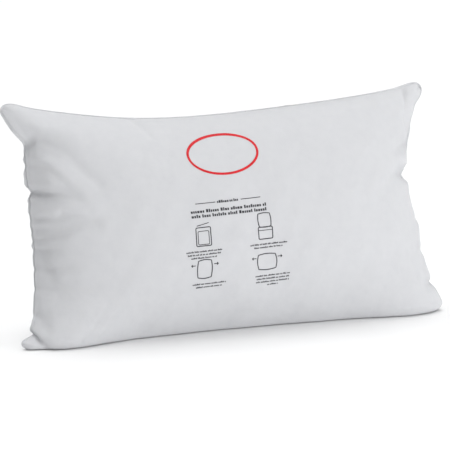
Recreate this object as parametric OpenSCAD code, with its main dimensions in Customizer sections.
// Small rectangular bed pillow: a two-panel fabric shell around a fibre core.
// It stands on one long seam, leans back a little, and faces -Y.
// X runs along the long side and Z points up. The origin is on the floor,
// under the middle of the whole pillow. All sizes are in millimetres.

/* [Pattern] */
// Length of each fabric panel between its seams, laid flat
cut_length = 508; // [400:1:660]
// Height of each fabric panel between its seams, laid flat
cut_height = 305; // [250:1:400]

/* [Filling] */
// Thickness of the filled pillow at its middle
loft = 138; // [100:1:160]
// How much of its flat length the filled pillow keeps, corner to corner
length_kept = 0.985; // [0.94:0.001:0.99]
// How much of its flat height the filled pillow keeps, corner to corner
height_kept = 0.975; // [0.94:0.001:0.98]
// How far the short sides draw in between the corners
side_waist = 0.105; // [0.05:0.005:0.14]
// How far the long sides draw in between the corners
long_waist = 0.15; // [0.08:0.01:0.18]

/* [Standing] */
// Angle that the pillow leans back
lean = 10; // [0:1:15]
// How far the floor presses the bottom seam up into the pillow
floor_press = 18; // [10:1:24]
// How much wider the pressed base spreads
base_spread = 0.2; // [0:0.01:0.25]

/* [Shell] */
// Thickness of one fabric panel with its layer of fleece
ply = 0.8; // [0.6:0.1:1.2]
// Width of the flat sewn lip outside the swell
lip = 4; // [3:0.5:5]
// Width of the seam allowance turned to the inside
allowance = 10; // [8:1:14]
// Half the gap between the two panels in the seam
seam_gap = 0.25; // [0.22:0.01:0.3]

/* [Sewing] */
// Diameter of the seam thread
seam_thread = 0.4; // [0.3:0.05:0.4]
// Diameter of the thread that closes the filling slit
closing_thread = 0.5; // [0.4:0.05:0.6]
// Length of the slit on the right side that is sewn shut after filling
slit_length = 150; // [80:5:170]

/* [Label] */
// Width of the sewn-in care label
label_w = 50; // [30:1:60]
// Hanging length of the label
label_l = 62; // [40:1:70]
// Thickness of the folded label
label_t = 0.6; // [0.4:0.1:1]
// Distance of the label's middle from the pillow's middle
label_x = 105; // [-150:5:150]
// Clearance between the label and the back panel
label_clear = 1.6; // [1:0.1:3]

/* [Hidden] */

nu = 34;            // cells along the pillow
nv = 22;            // cells up the pillow
side_power = 4;     // higher is flatter in the middle and steeper at the ends
side_round = 0.52;  // exponent of the swell along the length
top_round = 0.64;   // exponent of the swell up the height
spread_zone = 70;   // height above the floor in which the base spreads
ear_power = 6;      // higher keeps the bottom seam straight for longer
tuck_zone = 6;      // how soon the inner skin meets the outer one past the allowance
fill_clear = 0.5;   // gap between the panels and the fibre core
lip_taper = 0.7;    // thickness of the lip's edge over that of the ply
thread_sides = 6;
ring_nu = 24;       // thread segments along each long seam
ring_nv = 16;       // thread segments up each short seam
label_rows = 14;    // cells down the label
label_cols = 6;     // cells across the label

half_l = cut_length * length_kept / 2;
half_h = cut_height * height_kept / 2;
low_h = half_h * (1 - long_waist);      // the middle of the pillow above its bottom seam
centre_z = low_h * cos(lean) - floor_press;
ear_lift = floor_press + 4;             // the bottom corners clear the floor
half_loft = loft / 2;
front = -1;
back = 1;

// Numbers from -1 to 1 that crowd towards both ends, where the swell is steep
function crowded(n) = [for (i = [0:n]) sin(90 * (2 * i / n - 1))];

// Place on the pillow's own middle plane. The bottom seam runs straight until it
// lifts off the floor at the ears, and the other sides draw in between the corners.
function plane_x(u, v, inset) = (half_l - inset) * u * (1 - side_waist * (1 - v * v));
function plane_h(u, v, inset) = v < 0
    ? (low_h - inset - ear_lift * pow(abs(u), ear_power) * v * v) * v
    : (half_h - inset) * v * (1 - long_waist * (1 - u * u));

// Swell of one panel, from 0 at the seam to 1 at the middle
function swell(u, v) =
    pow(max(0, 1 - pow(abs(u), side_power)), side_round) * pow(max(0, 1 - v * v), top_round);

// Stand a point up: x along, t through the thickness, h up the middle plane.
// A point below the given layer slides up the pillow's plane onto that layer.
function stand(x, t, h, layer) =
    let (z = centre_z + h * cos(lean) - t * sin(lean),
         rise = max(0, layer - z),
         y = h * sin(lean) + t * cos(lean) + rise * tan(lean),
         y_base = -low_h * sin(lean) + floor_press * tan(lean),
         near_floor = max(0, 1 - max(z, layer) / spread_zone))
    [x, y_base + (y - y_base) * (1 + base_spread * near_floor * near_floor), z + rise];

// Inset of a skin at s along an axis: rim_inset at the seam, body_inset beyond it
function tuck(s, half, rim_inset, body_inset) =
    body_inset + (rim_inset - body_inset) * exp(-half * (1 - abs(s)) / tuck_zone);

// A skin of the pillow: side is front or back, rim_inset and body_inset shrink the
// outline, and it is rim_t off the middle plane at the seam and mid_t at the middle.
function skin(side, rim_inset, body_inset, rim_t, mid_t, layer, n, m) =
    [for (v = crowded(m), u = crowded(n))
        stand(plane_x(u, v, tuck(u, half_l, rim_inset, body_inset)),
              side * (rim_t + (mid_t - rim_t) * swell(u, v)),
              plane_h(u, v, tuck(v, half_h, rim_inset, body_inset)), layer)];

// The border of an n by m grid as one loop of [u, v] pairs and as grid indexes
function border_uv(n, m) = let (us = crowded(n), vs = crowded(m)) concat(
    [for (i = [0:n - 1]) [us[i], -1]], [for (j = [0:m - 1]) [1, vs[j]]],
    [for (i = [n:-1:1]) [us[i], 1]], [for (j = [m:-1:1]) [-1, vs[j]]]);
function border_ids(n, m) = concat(
    [for (i = [0:n - 1]) i], [for (j = [0:m - 1]) j * (n + 1) + n],
    [for (i = [n:-1:1]) m * (n + 1) + i], [for (j = [m:-1:1]) j * (n + 1)]);
function border_loop(side, inset, t, layer, n, m) =
    [for (p = border_uv(n, m))
        stand(plane_x(p[0], p[1], inset), side * t, plane_h(p[0], p[1], inset), layer)];

// Faces of a grid, of a strip between two loops, and their mirror images. The
// diagonals of the grid's cells run out to its corners, so each corner is split.
function grid_faces(n, m, first) = [for (j = [0:m - 1], i = [0:n - 1])
    let (a = first + j * (n + 1) + i, b = a + 1, c = a + n + 1, d = c + 1)
    each (i < n / 2) == (j < m / 2) ? [[a, c, d], [a, d, b]] : [[a, c, b], [b, c, d]]];
function strip_faces(low, high) = let (k = len(low)) [for (i = [0:k - 1])
    let (j = (i + 1) % k) each [[low[i], low[j], high[i]], [low[j], high[j], high[i]]]];
function flipped(faces) = [for (f = faces) [f[2], f[1], f[0]]];
function shifted(ids, by) = [for (i = ids) i + by];
function counting(first, k) = [for (i = [0:k - 1]) first + i];

// The spread base shifts the box, so the origin is set from the real extremes
outer_skins = concat(
    skin(front, lip, lip, seam_gap + ply, half_loft, 0, nu, nv),
    skin(back, lip, lip, seam_gap + ply, half_loft, 0, nu, nv));
mid_y = (min([for (p = outer_skins) p[1]]) + max([for (p = outer_skins) p[1]])) / 2;

// One fabric panel: its outer skin, the tapered lip, and an inner skin that
// starts at the inner edge of the turned-in seam allowance
module panel(side) {
    grid_n = (nu + 1) * (nv + 1);
    loop_n = 2 * (nu + nv);
    points = concat(
        skin(side, lip, lip, seam_gap + ply, half_loft, 0, nu, nv),
        border_loop(side, 0, seam_gap + ply * lip_taper, 0, nu, nv),
        border_loop(side, 0, seam_gap, 0, nu, nv),
        skin(side, allowance, lip + ply, seam_gap, half_loft - ply, ply, nu, nv));
    outer_rim = border_ids(nu, nv);
    lip_rim = counting(grid_n, loop_n);
    edge_rim = counting(grid_n + loop_n, loop_n);
    inner_rim = shifted(outer_rim, grid_n + 2 * loop_n);
    faces = concat(
        grid_faces(nu, nv, 0),
        strip_faces(outer_rim, lip_rim),
        strip_faces(lip_rim, edge_rim),
        strip_faces(edge_rim, inner_rim),
        flipped(grid_faces(nu, nv, grid_n + 2 * loop_n)));
    translate([0, -mid_y, 0])
        polyhedron(points, side == front ? faces : flipped(faces), convexity = 8);
}

// A round thread swept along a list of points, closed into a ring or with ends
module thread(path, diameter, ring) {
    k = len(path);
    s = thread_sides;
    points = [for (i = [0:k - 1])
        let (a = path[ring ? (i + k - 1) % k : max(i - 1, 0)],
             b = path[ring ? (i + 1) % k : min(i + 1, k - 1)],
             along = (b - a) / norm(b - a),
             out = cross(along, [0, cos(lean), -sin(lean)]),
             side = out / norm(out),
             up = cross(side, along))
        each [for (q = [0:s - 1]) let (w = 360 * q / s)
            path[i] + diameter / 2 * (cos(w) * side + sin(w) * up)]];
    last = ring ? k - 1 : k - 2;
    walls = [for (i = [0:last], q = [0:s - 1])
        let (a = i * s + q, b = i * s + (q + 1) % s,
             c = ((i + 1) % k) * s + q, d = ((i + 1) % k) * s + (q + 1) % s)
        each [[a, b, c], [b, d, c]]];
    caps = ring ? [] : [[for (q = [s - 1:-1:0]) q], counting((k - 1) * s, s)];
    translate([0, -mid_y, 0]) polyhedron(points, concat(walls, caps), convexity = 10);
}

module front_panel() {
    color("whitesmoke") panel(front);
}

module back_panel() {
    color("white") panel(back);
}

// The fibre core fills the shell up to the fleece
module fibre_fill() {
    n = nu;
    m = nv;
    rim_inset = allowance + fill_clear;
    body_inset = lip + ply + fill_clear;
    layer = ply + fill_clear;
    thick = half_loft - ply - fill_clear;
    front_skin = skin(front, rim_inset, body_inset, 0, thick, layer, n, m);
    back_skin = skin(back, rim_inset, body_inset, 0, thick, layer, n, m);
    inner = [for (j = [1:m - 1], i = [1:n - 1]) j * (n + 1) + i];
    back_id = [for (k = [0:(n + 1) * (m + 1) - 1])
        let (i = k % (n + 1), j = floor(k / (n + 1)))
        i == 0 || i == n || j == 0 || j == m ? k : (n + 1) * (m + 1) + (j - 1) * (n - 1) + i - 1];
    faces = concat(
        grid_faces(n, m, 0),
        [for (f = flipped(grid_faces(n, m, 0))) [back_id[f[0]], back_id[f[1]], back_id[f[2]]]]);
    color("snow") translate([0, -mid_y, 0])
        polyhedron(concat(front_skin, [for (k = inner) back_skin[k]]), faces, convexity = 8);
}

// The seam's two threads lie side by side in the gap between the panels
module seam_needle_thread() {
    path = border_loop(back, 1.2, 0, seam_thread / 2 + 0.03, ring_nu, ring_nv);
    color("gainsboro") thread(path, seam_thread, true);
}

module seam_bobbin_thread() {
    path = border_loop(back, 2.6, 0, seam_thread * 1.5 + 0.2, ring_nu, ring_nv);
    color("silver") thread(path, seam_thread, true);
}

// The slit in the right side is edge-stitched, one thread on each face of the lip
function slit_path(side) =
    let (reach = slit_length / 2 / half_h, middle = 0.15, steps = 24)
    [for (k = [0:steps]) let (v = middle + reach * (2 * k / steps - 1))
        stand(plane_x(1, v, lip / 2), side * (seam_gap + ply + closing_thread / 2 + 0.05),
              plane_h(1, v, lip / 2), 0)];

module closing_needle_thread() {
    color("gainsboro") thread(slit_path(front), closing_thread, false);
}

module closing_bobbin_thread() {
    color("silver") thread(slit_path(back), closing_thread, false);
}

// The label leaves the top seam and lies down over the back panel
label_top_h = plane_h(label_x / half_l, 1, 0) + label_clear;
function label_point(x, s, lift) =
    let (u = x / half_l,
         v = 1 - s / low_h,
         t = seam_gap + ply + (half_loft - seam_gap - ply) * swell(u, v),
         h = plane_h(label_x / half_l, v, 0) + label_clear * (1 - s / label_l))
    stand(x, t + label_clear + lift, h, 0);

module care_label() {
    n = label_cols;
    m = label_rows;
    // the fabric runs steeply at first, so its drop is shorter than its length
    drop = label_l * 0.75;
    side_points = function (lift) [for (j = [0:m], i = [0:n])
        label_point(label_x + label_w * (i / n - 0.5), drop * pow(j / m, 1.5), lift)];
    count = (n + 1) * (m + 1);
    rim = border_ids(n, m);
    faces = concat(flipped(grid_faces(n, m, 0)), grid_faces(n, m, count),
                   flipped(strip_faces(rim, shifted(rim, count))));
    color("white") translate([0, -mid_y, 0])
        polyhedron(concat(side_points(0), side_points(label_t)), faces, convexity = 6);
}

front_panel();
back_panel();
fibre_fill();
seam_needle_thread();
seam_bobbin_thread();
closing_needle_thread();
closing_bobbin_thread();
care_label();
